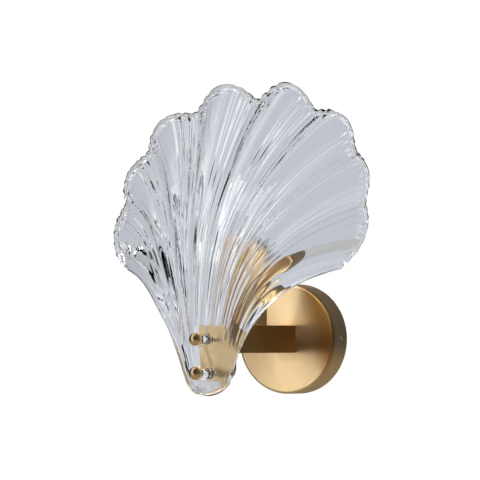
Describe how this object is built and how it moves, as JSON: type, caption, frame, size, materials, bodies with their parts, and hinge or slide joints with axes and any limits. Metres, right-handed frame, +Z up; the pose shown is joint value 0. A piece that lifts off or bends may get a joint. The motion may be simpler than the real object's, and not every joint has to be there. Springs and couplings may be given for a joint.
{
  "type": "wall sconce",
  "caption": "Wall light with a thick fluted glass scallop shell held by ball nuts in front of a brass arm, round canopy and upright lamp cup.",
  "frame": {"origin": "middle of the round canopy, where its axis meets the wall plane", "axes": "+Z up; the wall is the plane Y = 0 and the room lies towards -Y; +X to the right as seen from the room"},
  "size_m": [0.2636, 0.1915, 0.2841],
  "materials": {
    "brass": "brushed satin",
    "steel": "zinc plated",
    "dark_steel": "blackened",
    "shell_glass": "clear pressed glass",
    "lamp_glass": "clear",
    "clear_plastic": "clear",
    "white_plastic": "moulded",
    "brown_insulation": "smooth",
    "blue_insulation": "smooth",
    "ceramic": "glazed"
  },
  "bodies": {
    "fixture": {"wall_bracket": "steel", "canopy": "brass", "canopy_screws": "steel", "earth_washer": "steel", "earth_screw": "steel", "terminal_block": "white_plastic", "block_screw": "steel", "terminal_screws": "steel", "arm_nipple": "brass", "arm_washer": "steel", "arm_nut": "steel", "arm": "brass", "front_plate": "brass", "glass_studs": "steel", "ball_nuts": "brass", "glass_shell": "shell_glass", "front_washers": "clear_plastic", "glass_sleeves": "clear_plastic", "rear_washers": "steel", "rear_nuts": "dark_steel", "lamp_cup": "brass", "socket_bracket": "steel", "cup_nipple": "brass", "cup_nut": "steel", "lamp_socket": "ceramic", "socket_screws": "steel", "socket_contacts": "steel", "live_lead": "brown_insulation", "neutral_lead": "blue_insulation"},
    "bulb": {"bulb_base": "ceramic", "bulb_capsule": "lamp_glass", "bulb_pins": "steel"}
  },
  "joints": [
    {"name": "bulb_pull", "type": "slide", "parent": "fixture", "child": "bulb", "axis": [0, 0, 1], "range_m": [0, 0.03]}
  ]
}
